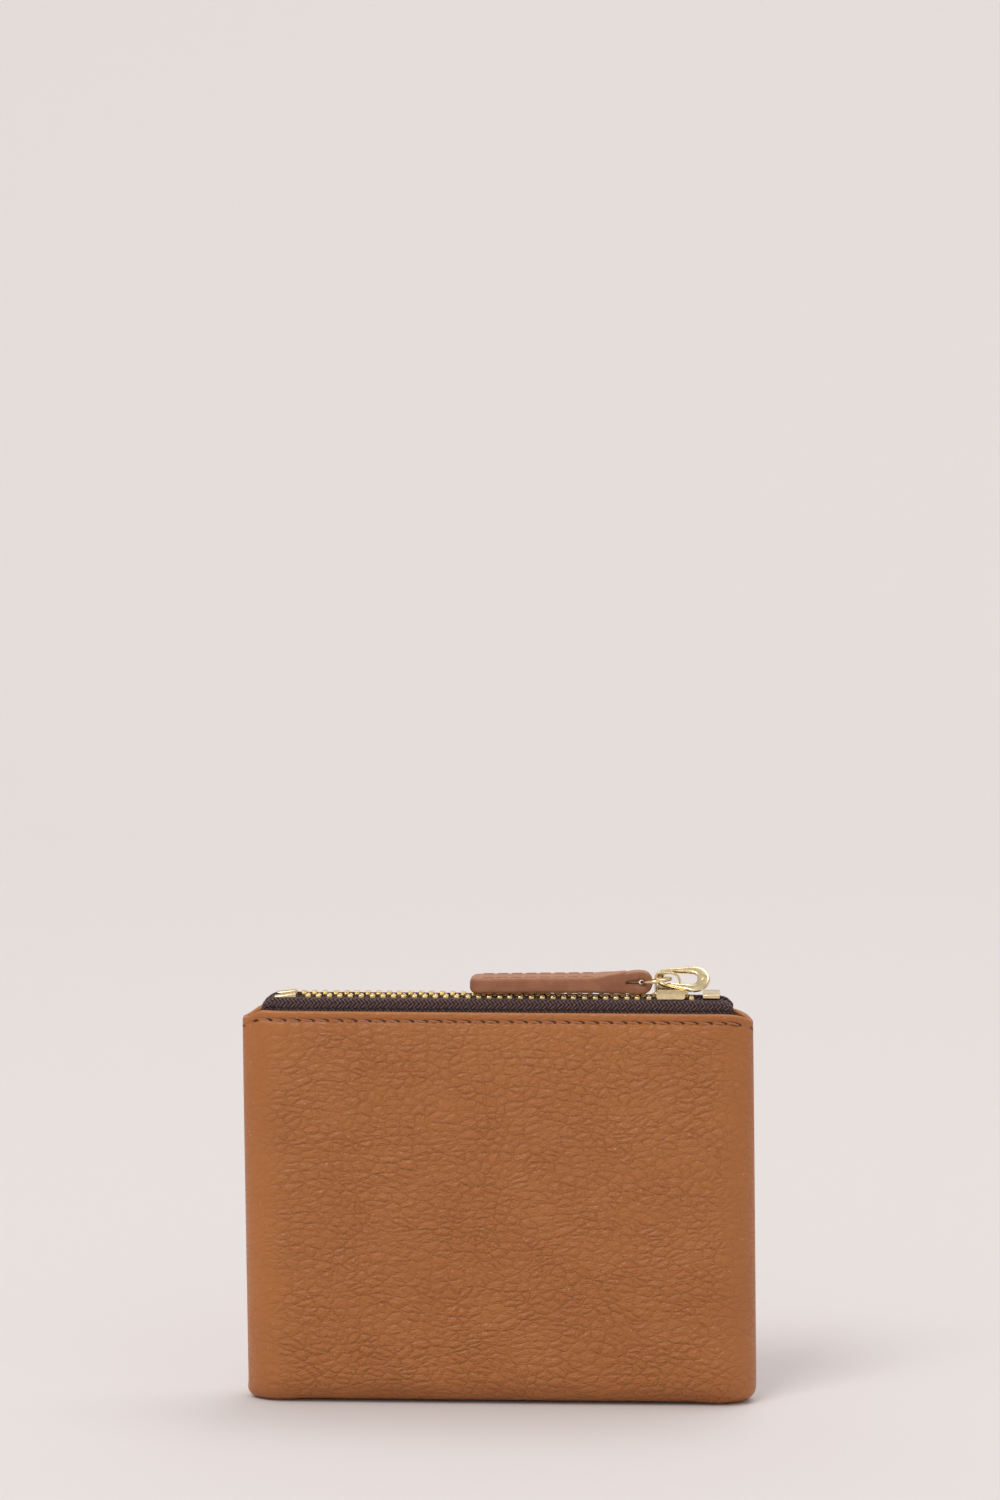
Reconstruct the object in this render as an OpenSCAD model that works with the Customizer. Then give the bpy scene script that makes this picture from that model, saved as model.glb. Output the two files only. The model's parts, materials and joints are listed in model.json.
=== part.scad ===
// Small zippered leather pouch that stands on its folded bottom.
// Origin: middle of the flat bottom.  +X runs along the zip, -Y is the front wall, +Z is up.

/* [Pouch] */
// Overall width along the zip, seam to seam
pouch_w = 112; // [100:1:130]
// Height of the leather's top edge above the floor
edge_h = 87; // [75:1:100]
// Half the depth of the body at its fullest, near the bottom
belly_half = 8.6; // [8:0.1:11]
// Half the depth between the two leather edges at the mouth
rim_half = 5.9; // [5.9:0.1:6.6]
// Half the depth of the flat strip that the pouch stands on
foot_half = 3.6; // [3:0.1:5]
// Height over which the wall curves up out of the flat strip
foot_rise = 7; // [5:0.5:10]
// Length over which each end of the body rounds into its side seam
end_round = 9; // [8:0.5:12]
// Radius of the bottom corners seen from the front
corner_r = 2.5; // [2:0.1:5]

/* [Layers] */
// Thickness of the leather wall
leather_t = 1.2; // [1:0.05:1.4]
// Thickness of the stiffener sheet and of the zip tape, which share one layer
sheet_t = 0.5; // [0.4:0.05:0.6]
// Thickness of the lining
lining_t = 0.3; // [0.2:0.05:0.4]
// Gap between neighbouring layers
layer_gap = 0.05; // [0.02:0.01:0.08]

/* [Zip] */
// Distance between neighbouring teeth of one row
tooth_pitch = 2.32; // [2.2:0.02:2.6]
// Teeth in each row
tooth_count = 37; // [30:1:37]
// Thickness of a tooth along the zip
tooth_t = 1.1; // [0.9:0.05:1.15]
// Length of a tooth across the zip
tooth_l = 2.6; // [2.4:0.05:2.6]
// Height of a tooth
tooth_h = 1.6; // [1.4:0.05:1.7]
// Half the gap between the heads of the two open rows
head_gap_half = 0.6; // [0.55:0.05:0.65]
// Height of the flat part of the tape above the leather edge
tape_rise = 2.5; // [2.3:0.1:2.8]
// Width of tape sewn in below the leather edge
tape_hidden = 8; // [5:0.5:12]

/* [Slider and pull] */
// Place of the slider's middle along the zip
slider_x = 37.4; // [36:0.1:37.6]
// Length of the slider
slider_l = 7.4; // [7.2:0.1:7.4]
// Thickness of the flat oval puller
puller_t = 0.9; // [0.8:0.05:0.9]
// Length of the oval puller
puller_l = 11.9; // [11.5:0.1:12.2]
// Width of the oval puller at its free end
puller_w = 7; // [6.6:0.1:7]
// How far the puller leans: angle of its plane above the horizontal
puller_tilt = 40; // [36:1:40]
// Wire radius of the jump ring
ring_wire_r = 0.36; // [0.3:0.02:0.36]
// Radius of the jump ring to the middle of its wire
ring_r = 3.2; // [3.15:0.05:3.25]
// Length of the leather pull tab from its free end to the jump ring
tab_l = 37.5; // [25:0.5:40]
// Width of the pull tab
tab_w = 7; // [6:0.5:8]

/* [Stitching] */
// Distance between neighbouring stitches
stitch_pitch = 3.1; // [2.6:0.1:4]
// Radius of the thread
thread_r = 0.22; // [0.15:0.01:0.3]
// Length of the thread that shows, as a share of the stitch distance
stitch_share = 0.72; // [0.5:0.02:0.8]
// Depth of the stitch row below the leather edge
stitch_drop = 2; // [1.6:0.1:3]

/* [Hidden] */
$fn = 48;
far = 200;                                  // larger than the whole pouch
cut = 0.5;                                  // how far a cutting shape runs past what it cuts

// Depth of each layer's outer face below the outside of the pouch
stiff_d = leather_t + layer_gap;
stiff_in = stiff_d + sheet_t;
lining_d = stiff_in + layer_gap;
lining_in = lining_d + lining_t;

stitch_slant = 6;                           // lean of each stitch in the top row
lining_top = edge_h - 0.5;                  // level of the lining's top edge

// Zip levels and places across the zip
tape_half_l = 52;                           // half the length of the zip tape
tape_top = edge_h + tape_rise + sheet_t / 2;
tape_mid = edge_h + tape_rise;
tape_out = rim_half - stiff_d;              // outer face of the tape's upright part
bead_r = 0.5;                               // radius of the woven bead that the teeth grip
tooth_out = head_gap_half + tooth_l;        // outer end of a tooth
bead_y = tooth_out - 0.8;                   // middle of the bead
bend_r = 0.9;                               // outer radius where the tape turns over
teeth_x0 = -0.5 * tooth_pitch * (tooth_count - 1);
half_pitch = tooth_pitch / 2;
stop_l = 4.8;                               // length of each top stop
stop_w = 1.9;                               // width of each top stop
stop_x = -49.2;                             // left end of the top stops
stop_end_x = 44.3;                          // left end of the bottom stop
stop_end_l = 3.7;                           // length of the bottom stop
stop_end_half = 3.4;                        // half the width of the bottom stop

// Slider levels
plate_half = 3.95;                          // half the slider's width
plate_t = 0.8;                              // thickness of each plate
flange_t = 0.55;
flange_l = 6.4;                             // length of the side flanges
lip = 0.8;                                  // how far the flanges stand above the upper plate
run_gap = 0.2;                              // clearance between slider and zip
upper_low = tape_mid + tooth_h / 2 + run_gap;
upper_top = upper_low + plate_t;
lower_top = tape_mid - tooth_h / 2 - run_gap;
lower_low = lower_top - plate_t;
post_half = 0.32;                           // half the thickness of the post between the rows
post_l = 3;                                 // length of the post

// Puller and the bridge over its bar
bar_r = 0.38;                               // radius of the puller's round bar
leg_l = 0.7;                                // length of each leg of the bridge
leg_gap = 0.17;                             // clearance between the left leg and the bar
bridge_l = 6;                               // length of the bridge over both legs
bridge_w = 0.9;
bridge_t = 0.5;
slider_end = slider_x - slider_l / 2;       // left end of the slider
pivot_x = slider_end + leg_l + leg_gap + bar_r;
pivot_z = upper_top + 2.6;
bridge_low = pivot_z + bridge_w / 2 * tan(puller_tilt) + bar_r / cos(puller_tilt) + 0.16;
puller_shift = 0.25;                        // how far the puller's middle sits off the bridge
puller_yaw = 3;                             // turn of the puller in its own plane
small_r = 2.3;                              // radius of the puller's end at the slider
small_x = 1.3;                              // middle of that end, from the bar
slot_half = 1.35;                           // half the width of the slot at the bar
window_half = 1.7;                          // half the width of the puller's window
window_x = 1.3;                             // left end of the window, from the bar
window_l = 6.8;                             // length of the window
window_r = 1.2;                             // radius of the window's corners

// Jump ring: its right side lies under the bridge, its left side in the tab's loop
ring_roll = -7;                             // lean of the ring about X
ring_pitch = -7.5;                          // lean of the ring about Y
ring_x = slider_end + 0.45;
ring_z = pivot_z - 0.4;

// Pull tab
grip_x = ring_x - ring_r * cos(ring_pitch); // where the tab holds the ring
grip_z = ring_z + ring_r * sin(ring_pitch);
tab_sink = 1;                               // slope of the tab down to its free end
tab_leather = 1.4;                          // thickness of the tab's folded strap
tab_core = 0.6;                             // thickness of the sheet inside the strap
tab_t = 2 * tab_leather + tab_core;
tab_corner = 2;                             // radius of the free end's corners
loop_w = 3;                                 // width of the strap where it passes the ring
loop_r = 2.4;                               // outer radius of the fold round the ring
loop_hole_r = 1;                            // inner radius of the fold
loop_back = 3.6;                            // length of the opening behind the ring
neck = 8;                                   // distance from the ring at which the strap is full

// ---- outline functions ----

// Half the depth of the pouch at height z
function half_depth(z) =
    let (swell = rim_half + (belly_half - rim_half) * (1 - pow(z / edge_h, 2)),
         foot = foot_half / belly_half,
         lift = z < foot_rise ? foot + (1 - foot) * sqrt(1 - pow(1 - z / foot_rise, 2)) : 1)
    swell * lift;

// Heights at which the side outline has a point, from d up to the top: close where it curves fast
function levels(d, top) =
    concat([for (a = [0:15:75]) d + (foot_rise - d) * (1 - cos(a))],
           [for (k = [0:8]) foot_rise + (top - foot_rise) * k / 8]);

// Side outline, as depth against height, inset by d
function side_outline(d, top) =
    let (zs = levels(d, top), n = len(zs))
    concat([for (z = zs) [half_depth(z) - d, z]],
           [for (k = [n - 1:-1:0]) [d - half_depth(zs[k]), zs[k]]]);

// One rounded end of the plan outline, inset by d
function plan_end(d) =
    [for (a = [-90:15:90])
        [pouch_w / 2 - end_round + (end_round - d) * cos(a), (belly_half - d) * sin(a)]];
function plan_outline(d) =
    concat(plan_end(d), [for (p = plan_end(d)) [-p[0], -p[1]]]);

// Front outline with its two bottom corners rounded, inset by d
function front_outline(d, top) =
    let (r = max(corner_r - d, 0.3), w = pouch_w / 2 - d)
    concat([[w, top]],
           [for (a = [0:-15:-90]) [w - r + r * cos(a), d + r + r * sin(a)]],
           [for (a = [-90:-15:-180]) [-w + r + r * cos(a), d + r + r * sin(a)]],
           [[-w, top]]);

// ---- shared shapes ----

// The pouch's outer form, inset by d and cut off at height top
module body_form(d, top) {
    intersection() {
        rotate([90, 0, 90]) linear_extrude(far, center = true) polygon(side_outline(d, top));
        linear_extrude(far) polygon(plan_outline(d));
        rotate([90, 0, 0]) linear_extrude(far, center = true) polygon(front_outline(d, top));
    }
}

// The front (side = -1) or rear (side = 1) half of space, between heights low and high
module half_space(side, low, high) {
    translate([-far / 2, side > 0 ? 0 : -far, low]) cube([far, far, high - low]);
}

// One wall of the layer between depths d_out and d_in
module wall(side, d_out, d_in, low, top) {
    intersection() {
        difference() {
            body_form(d_out, top);
            body_form(d_in, top + cut);
        }
        half_space(side, low, top);
    }
}

// A straight stitch that lies along X
module stitch() {
    rotate([0, 90, 0]) cylinder(h = stitch_pitch * stitch_share, r = thread_r, center = true, $fn = 16);
}

module top_stitching(side) {
    count = floor((pouch_w - 2 * end_round) / stitch_pitch);
    z = edge_h - stitch_drop;
    for (k = [0:count])
        translate([(k - count / 2) * stitch_pitch, side * half_depth(z), z])
            rotate([0, stitch_slant, 0]) stitch();
}

// Cross-section of the tape above the leather edge: upright, over a round bend, then flat to the bead
module tape_section() {
    inner_r = bend_r - sheet_t;
    difference() {
        union() {
            translate([tape_out - bend_r, tape_top - bend_r]) circle(bend_r);
            translate([tape_out - sheet_t, edge_h - cut])
                square([sheet_t, tape_top - bend_r - edge_h + cut]);
            translate([bead_y, tape_top - sheet_t]) square([tape_out - bend_r - bead_y, sheet_t]);
        }
        translate([tape_out - bend_r, tape_top - bend_r]) circle(inner_r);
        translate([tape_out - 2 * bend_r, tape_top - 2 * bend_r])
            square([2 * bend_r - sheet_t, bend_r]);
        translate([tape_out - 2 * bend_r, tape_top - 2 * bend_r])
            square([bend_r, 2 * bend_r - sheet_t]);
    }
    translate([bead_y, tape_mid]) circle(bead_r);
}

module zip_tape(side) {
    wall(side, stiff_d, stiff_in, edge_h - tape_hidden, edge_h);
    mirror([0, side > 0 ? 0 : 1, 0])
        rotate([90, 0, 90]) linear_extrude(2 * tape_half_l, center = true) tape_section();
}

// The room that the tape and its bead need inside a tooth or a stop
module bead_slot() {
    translate([0, bead_y, tape_mid]) rotate([0, 90, 0]) cylinder(h = far, r = bead_r, center = true);
    translate([-far / 2, bead_y, tape_mid - sheet_t / 2]) cube([far, tooth_l, sheet_t]);
}

// One tooth of the rear row at x = 0: round head towards the middle, two legs round the bead
module tooth() {
    head_r = tooth_t / 2;
    difference() {
        union() {
            translate([-head_r, head_gap_half + head_r, tape_mid - tooth_h / 2])
                cube([tooth_t, tooth_l - head_r, tooth_h]);
            translate([0, head_gap_half + head_r, tape_mid - tooth_h / 2])
                cylinder(h = tooth_h, r = head_r, $fn = 24);
        }
        bead_slot();
    }
}

module zip_teeth(side, shift) {
    mirror([0, side > 0 ? 0 : 1, 0])
        for (k = [0:tooth_count - 1])
            translate([teeth_x0 + shift + k * tooth_pitch, 0, 0]) tooth();
}

module top_stop(side) {
    mirror([0, side > 0 ? 0 : 1, 0])
        translate([stop_x, 0, 0])
            difference() {
                translate([0, bead_y - stop_w / 2, tape_mid - tooth_h / 2])
                    cube([stop_l, stop_w, tooth_h]);
                bead_slot();
            }
}

// ---- sub-parts ----

module front_panel() {
    color("peru") wall(-1, 0, leather_t, 0, edge_h);
}

module rear_panel() {
    color("peru") wall(1, 0, leather_t, 0, edge_h);
}

module front_stiffener() {
    color("tan") wall(-1, stiff_d, stiff_in, 0, edge_h - tape_hidden - layer_gap);
}

module rear_stiffener() {
    color("tan") wall(1, stiff_d, stiff_in, 0, edge_h - tape_hidden - layer_gap);
}

module front_lining() {
    color("saddlebrown") wall(-1, lining_d, lining_in, 0, lining_top);
}

module rear_lining() {
    color("saddlebrown") wall(1, lining_d, lining_in, 0, lining_top);
}

module front_top_stitching() {
    color("sienna") top_stitching(-1);
}

module rear_top_stitching() {
    color("sienna") top_stitching(1);
}

module front_zip_tape() {
    color("darkslategray") zip_tape(-1);
}

module rear_zip_tape() {
    color("darkslategray") zip_tape(1);
}

module front_zip_teeth() {
    color("gold") zip_teeth(-1, 0);
}

module rear_zip_teeth() {
    color("gold") zip_teeth(1, -half_pitch);
}

module front_top_stop() {
    color("goldenrod") top_stop(-1);
}

module rear_top_stop() {
    color("goldenrod") top_stop(1);
}

// A clip over both tapes: a plate above, a plate below and a web between the two beads
module bottom_stop() {
    top_t = 0.9;
    low_t = 0.6;
    web_half = bead_y - bead_r - 2 * layer_gap;
    low_z = tape_mid - bead_r - layer_gap;
    high_z = tape_mid + bead_r + layer_gap;
    color("goldenrod") translate([stop_end_x, 0, 0]) {
        translate([0, -stop_end_half, high_z]) cube([stop_end_l, 2 * stop_end_half, top_t]);
        translate([0, -stop_end_half, low_z - low_t]) cube([stop_end_l, 2 * stop_end_half, low_t]);
        translate([0, -web_half, low_z - low_t]) cube([stop_end_l, 2 * web_half, high_z - low_z + low_t]);
    }
}

// Plan of the slider's plates: a block with round corners
module slider_plan() {
    r = 1.2;
    for (x = [-1, 1], y = [-1, 1])
        translate([x * (slider_l / 2 - r), y * (plate_half - r)]) circle(r);
    square([slider_l, 2 * (plate_half - r)], center = true);
    square([slider_l - 2 * r, 2 * plate_half], center = true);
}

// The two plates with their side flanges, the post between the rows, and the bridge on top
module slider_body() {
    color("gold") {
        translate([slider_x, 0, 0]) intersection() {
            slider_block();
            translate([0, 0, lower_low - cut]) linear_extrude(far) slider_plan();
        }
        translate([slider_end, 0, upper_top - plate_t / 2]) bridge(bridge_low - upper_top + plate_t / 2);
    }
}

// An arch along X whose opening has height rise
module bridge(rise) {
    difference() {
        translate([0, -bridge_w / 2, 0]) cube([bridge_l, bridge_w, rise + bridge_t]);
        translate([leg_l, -bridge_w, -cut]) cube([bridge_l - 2 * leg_l, 2 * bridge_w, rise + cut]);
    }
}

module slider_block() {
    tape_low = tape_top - sheet_t;
    translate([-slider_l / 2, -plate_half, upper_low]) cube([slider_l, 2 * plate_half, plate_t]);
    translate([-slider_l / 2, -plate_half, lower_low]) cube([slider_l, 2 * plate_half, plate_t]);
    translate([-slider_l / 2, -post_half, lower_low]) cube([post_l, 2 * post_half, upper_top - lower_low]);
    for (y = [-plate_half, plate_half - flange_t]) {
        translate([-flange_l / 2, y, tape_top + run_gap])
            cube([flange_l, flange_t, upper_top + lip - tape_top - run_gap]);
        translate([-flange_l / 2, y, lower_low])
            cube([flange_l, flange_t, tape_low - run_gap - lower_low]);
    }
}

// Outline of the puller: a small round end at the bar and a large one at the free end
module puller_outline() {
    steps = 12;
    big_r = puller_w / 2;
    big_x = small_x - small_r + puller_l - big_r;
    lean = asin((big_r - small_r) / (big_x - small_x));
    polygon(concat(
        [for (k = [0:steps]) let (a = (2 * k / steps - 1) * (90 + lean))
            [big_x + big_r * cos(a), big_r * sin(a)]],
        [for (k = [0:steps]) let (a = 180 + (2 * k / steps - 1) * (90 - lean))
            [small_x + small_r * cos(a), small_r * sin(a)]]));
}

// The puller's window with its round corners, and the slot that leads to the bar
module puller_hole() {
    r = window_r;
    translate([-small_r, -slot_half]) square([small_r + window_x + r, 2 * slot_half]);
    for (x = [r, window_l - r], y = [r - window_half, window_half - r])
        translate([window_x + x, y]) circle(r);
    translate([window_x, r - window_half]) square([window_l, 2 * (window_half - r)]);
    translate([window_x + r, -window_half]) square([window_l - 2 * r, 2 * window_half]);
}

// A flat oval ring that leans back on a round bar under the slider's bridge
module oval_puller() {
    bar_l = 2 * slot_half + 0.3;
    color("goldenrod") translate([pivot_x, 0, pivot_z])
        rotate([puller_tilt, 0, 0]) rotate([0, 0, -puller_yaw]) translate([0, puller_shift, 0]) {
            translate([0, 0, -puller_t / 2]) linear_extrude(puller_t) difference() {
                puller_outline();
                puller_hole();
            }
            rotate([90, 0, 0]) cylinder(h = bar_l, r = bar_r, center = true);
        }
}

module jump_ring() {
    color("goldenrod") translate([ring_x, 0, ring_z]) rotate([0, ring_pitch, 0]) rotate([ring_roll, 0, 0])
        rotate_extrude() translate([ring_r, 0]) circle(ring_wire_r);
}

// Places the pull tab: its origin is the ring's wire and it runs towards -X
module tab_frame() {
    translate([grip_x, 0, grip_z]) rotate([0, -tab_sink, 0]) children();
}

// Plan of the strap: full width with a rounded free end, narrowing to the loop
module tab_plan() {
    side_y = tab_w / 2;
    r = tab_corner;
    polygon(concat(
        [for (a = [90:15:180]) [-tab_l + r + r * cos(a), side_y - r + r * sin(a)]],
        [for (a = [180:15:270]) [-tab_l + r + r * cos(a), r - side_y + r * sin(a)]],
        [[-neck, -side_y], [-loop_back, -loop_w / 2], [loop_r, -loop_w / 2]],
        [[loop_r, loop_w / 2], [-loop_back, loop_w / 2], [-neck, side_y]]));
}

// Side view of the strap's two layers and its fold, with the loop's opening left out
module tab_side() {
    swell_x = 1.2;                          // where the opening is at its fullest
    swell_z = 2.6;
    difference() {
        union() {
            circle(loop_r);
            translate([-tab_l, -tab_t / 2]) square([tab_l - neck, tab_t]);
            polygon([
                [-neck - cut, -tab_t / 2], [-swell_x, -swell_z], [0, -loop_r],
                [0, loop_r], [-swell_x, swell_z], [-neck - cut, tab_t / 2]
            ]);
        }
        circle(loop_hole_r);
        polygon([[0, -loop_hole_r], [0, loop_hole_r], [-loop_back, 0]]);
    }
}

module pull_tab_leather() {
    color("peru") tab_frame() difference() {
        intersection() {
            rotate([90, 0, 0]) linear_extrude(tab_w, center = true) tab_side();
            translate([0, 0, -far / 2]) linear_extrude(far) tab_plan();
        }
        core_room(layer_gap);
    }
}

// The sheet between the strap's two layers
module core_room(gap) {
    margin = 0.8;                           // from the core's edge to the strap's
    translate([margin - tab_l - gap, margin - tab_w / 2 - gap, -tab_core / 2])
        cube([tab_l - neck - margin + 2 * gap, tab_w - 2 * (margin - gap), tab_core]);
}

module pull_tab_core() {
    color("tan") tab_frame() core_room(0);
}

module pull_tab_stitching() {
    inset = 1.1;
    first = 4 - tab_l;
    count = floor((tab_l - neck - 4) / stitch_pitch);
    color("sienna") tab_frame()
        for (face = [-1, 1], row = [-1, 1], k = [0:count - 1])
            translate([first + k * stitch_pitch, row * (tab_w / 2 - inset), face * tab_t / 2])
                stitch();
}

front_panel();
rear_panel();
front_stiffener();
rear_stiffener();
front_lining();
rear_lining();
front_top_stitching();
rear_top_stitching();
front_zip_tape();
rear_zip_tape();
front_zip_teeth();
rear_zip_teeth();
front_top_stop();
rear_top_stop();
bottom_stop();
slider_body();
oval_puller();
jump_ring();
pull_tab_leather();
pull_tab_core();
pull_tab_stitching();
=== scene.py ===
import bpy, bmesh, math, random
import json
from mathutils import Vector, Matrix, noise


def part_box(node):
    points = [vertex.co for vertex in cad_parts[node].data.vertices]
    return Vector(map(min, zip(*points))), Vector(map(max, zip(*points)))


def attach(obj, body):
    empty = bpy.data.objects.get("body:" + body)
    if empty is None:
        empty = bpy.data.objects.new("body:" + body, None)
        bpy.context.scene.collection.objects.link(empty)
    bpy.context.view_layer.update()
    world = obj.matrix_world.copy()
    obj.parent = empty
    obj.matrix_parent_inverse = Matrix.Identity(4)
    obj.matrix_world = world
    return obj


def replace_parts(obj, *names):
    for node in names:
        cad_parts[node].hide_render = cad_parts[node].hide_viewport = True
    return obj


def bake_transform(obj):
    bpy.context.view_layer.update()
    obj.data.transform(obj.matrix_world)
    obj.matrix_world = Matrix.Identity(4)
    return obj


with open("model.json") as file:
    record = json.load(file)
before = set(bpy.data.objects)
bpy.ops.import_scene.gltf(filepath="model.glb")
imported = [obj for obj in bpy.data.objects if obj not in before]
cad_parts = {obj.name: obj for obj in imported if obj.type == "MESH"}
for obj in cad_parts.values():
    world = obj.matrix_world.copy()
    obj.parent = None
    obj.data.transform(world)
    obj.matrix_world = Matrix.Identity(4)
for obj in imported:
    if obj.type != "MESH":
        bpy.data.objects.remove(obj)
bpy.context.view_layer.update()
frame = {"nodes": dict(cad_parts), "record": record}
MM = 0.001

# ------------------------------------------------------------------ sizes, from the frame
PANEL_LOW, PANEL_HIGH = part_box("front_panel")
HALF_W = PANEL_HIGH.x                       # seam to the middle
EDGE_Z = PANEL_HIGH.z                       # top edge of the leather
BELLY = -PANEL_LOW.y                        # half the depth at its fullest
RIM = 5.9 * MM                              # half the depth at the mouth
FOOT = 3.6 * MM                             # half the depth of the flat bottom
FOOT_RISE = 7 * MM
END_ROUND = 9 * MM                          # how far each end takes to round into its seam
CORNER = 3 * MM                             # radius of the bottom corners
LEATHER = 1.2 * MM
SHEET = 0.5 * MM                            # thickness of the zip tape
LINING = 0.3 * MM
LEAN = 1.1 * MM                             # how far the soft body leans along X from bottom to top
STITCH_DROP = 2 * MM                        # stitch row below the top edge
EDGE_ARC = LEATHER * (math.pi - 2) / 4      # what the turned edge adds to a length measured along it
STITCH_PITCH = 3.1 * MM
TAPE_MID = EDGE_Z + 2.5 * MM                # level of the flat part of the tape
TAPE_OUT = RIM - LEATHER - 0.05 * MM        # outer face of the tape's upright part
TAPE_HALF_L = 52 * MM
BEAD_Y = 2.4 * MM
HEAD_GAP = 0.6 * MM                         # half the gap between the two rows of teeth
TOOTH_PITCH = 2.32 * MM
TOOTH_COUNT = 37
LEFT_TURN = 51.3 * MM                       # where the top edge starts to fall at the left
RIGHT_TURN = 46.5 * MM                      # and at the right
PILLOW = 0.05                               # share of the depth lost towards the seams
FOLD_HALF_W = 1.55 * MM                     # half the width of the pull tab at its fold


# ------------------------------------------------------------------ small tools
def smooth(t):
    t = min(max(t, 0.0), 1.0)
    return t * t * (3 - 2 * t)


def lerp(a, b, t):
    return a + (b - a) * t


def new_object(name, mesh, material):
    obj = bpy.data.objects.new(name, mesh)
    bpy.context.scene.collection.objects.link(obj)
    mesh.materials.append(material)
    for face in mesh.polygons:
        face.use_smooth = True
    return obj


def grid_object(name, rows, material, uv=None, wrap_rows=False, wrap_cols=False):
    """A mesh through a grid of points. uv holds a (u, v) for each point, in metres."""
    n_rows, n_cols = len(rows), len(rows[0])
    mesh = bpy.data.meshes.new(name)
    points = [p for row in rows for p in row]
    faces = []
    corners = []
    for i in range(n_rows if wrap_rows else n_rows - 1):
        for j in range(n_cols if wrap_cols else n_cols - 1):
            i2, j2 = (i + 1) % n_rows, (j + 1) % n_cols
            faces.append((i * n_cols + j, i * n_cols + j2, i2 * n_cols + j2, i2 * n_cols + j))
            corners.append(((i, j), (i, j + 1), (i + 1, j + 1), (i + 1, j)))
    mesh.from_pydata(points, [], faces)
    if uv:
        layer = mesh.uv_layers.new(name="surface")
        k = 0
        for quad in corners:
            for i, j in quad:
                layer.data[k].uv = uv(i, j)
                k += 1
    return new_object(name, mesh, material)


def sharpen(obj, degrees=40):
    """Keeps creases sharper than the given angle out of the smooth shading."""
    bm = bmesh.new()
    bm.from_mesh(obj.data)
    for edge in bm.edges:
        edge.smooth = len(edge.link_faces) == 2 and edge.calc_face_angle() < math.radians(degrees)
    bm.to_mesh(obj.data)
    bm.free()


def outward(obj):
    """Turns every face of a closed mesh to look outward."""
    bm = bmesh.new()
    bm.from_mesh(obj.data)
    bmesh.ops.recalc_face_normals(bm, faces=bm.faces)
    bm.to_mesh(obj.data)
    bm.free()


def rounded_box(bm, low, high, radius, segments=3, matrix=None):
    """Adds a box with rounded edges to bm."""
    low, high = Vector(low), Vector(high)
    made = bmesh.ops.create_cube(bm, size=1)
    verts = made["verts"]
    bmesh.ops.scale(bm, vec=high - low, verts=verts)
    bmesh.ops.translate(bm, vec=(low + high) / 2, verts=verts)
    edges = list({e for v in verts for e in v.link_edges})
    made = bmesh.ops.bevel(bm, geom=edges, offset=radius, segments=segments, profile=0.5, affect="EDGES")
    if matrix:
        bmesh.ops.transform(bm, matrix=matrix, verts=list({v for f in made["faces"] for v in f.verts}))


def from_bmesh(name, bm, material):
    mesh = bpy.data.meshes.new(name)
    bm.to_mesh(mesh)
    bm.free()
    return new_object(name, mesh, material)


def tube(bm, path, radius, sides=10, closed=False):
    """Adds a tube along a list of points, with round ends unless it closes on itself."""
    count = len(path)
    rings = []
    for k, point in enumerate(path):
        before = path[k - 1] if closed or k else path[k]
        after = path[(k + 1) % count] if closed or k < count - 1 else path[k]
        along = (after - before).normalized()
        side = along.cross(Vector((0, 0, 1)))
        if side.length < 1e-3:
            side = along.cross(Vector((0, 1, 0)))
        side.normalize()
        up = side.cross(along)
        r = radius if closed else radius * (0.45 if k in (0, count - 1) else 1)
        rings.append([bm.verts.new(point + (side * math.cos(a) + up * math.sin(a)) * r)
                      for a in (2 * math.pi * s / sides for s in range(sides))])
    for k in range(count if closed else count - 1):
        one, two = rings[k], rings[(k + 1) % count]
        for s in range(sides):
            bm.faces.new((one[s], one[(s + 1) % sides], two[(s + 1) % sides], two[s]))
    if not closed:
        bm.faces.new(list(reversed(rings[0])))
        bm.faces.new(rings[-1])


# ------------------------------------------------------------------ materials
class Nodes:
    """Builds a material's nodes: add() makes one and links or sets its inputs."""

    def __init__(self, name):
        self.material = bpy.data.materials.new(name)
        self.material.use_nodes = True
        self.tree = self.material.node_tree
        self.shader = self.tree.nodes["Principled BSDF"]

    def set(self, node, inputs):
        for key, value in inputs.items():
            socket = node.inputs[key]
            if isinstance(value, bpy.types.NodeSocket):
                self.tree.links.new(value, socket)
            else:
                socket.default_value = value

    def add(self, kind, inputs=None, output=0, **settings):
        node = self.tree.nodes.new("ShaderNode" + kind)
        for key, value in settings.items():
            setattr(node, key, value)
        self.set(node, inputs or {})
        return node.outputs[output]

    def math(self, operation, a, b=0.0, c=0.0):
        return self.add("Math", {0: a, 1: b, 2: c}, operation=operation)

    def ramp(self, value, low, high, to_low=0.0, to_high=1.0):
        """A smooth step from to_low to to_high as value goes from low to high."""
        return self.add("MapRange", {0: value, 1: low, 2: high, 3: to_low, 4: to_high},
                        interpolation_type="SMOOTHSTEP")

    def mix(self, factor, a, b, blend="MIX"):
        node = self.tree.nodes.new("ShaderNodeMix")
        node.data_type = "RGBA"
        node.blend_type = blend
        self.set(node, {0: factor, 6: a, 7: b})
        return node.outputs[2]

    def surface_mm(self):
        """The point on the surface, in millimetres along its own length and height."""
        uv = self.add("UVMap", uv_map="surface")
        return self.add("VectorMath", {0: uv, 3: 1000.0}, operation="SCALE")

    def object_mm(self):
        place = self.add("TexCoord", output=3)
        return self.add("VectorMath", {0: place, 3: 1000.0}, operation="SCALE")


def rgb(red, green, blue):
    return (red, green, blue, 1.0)


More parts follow.
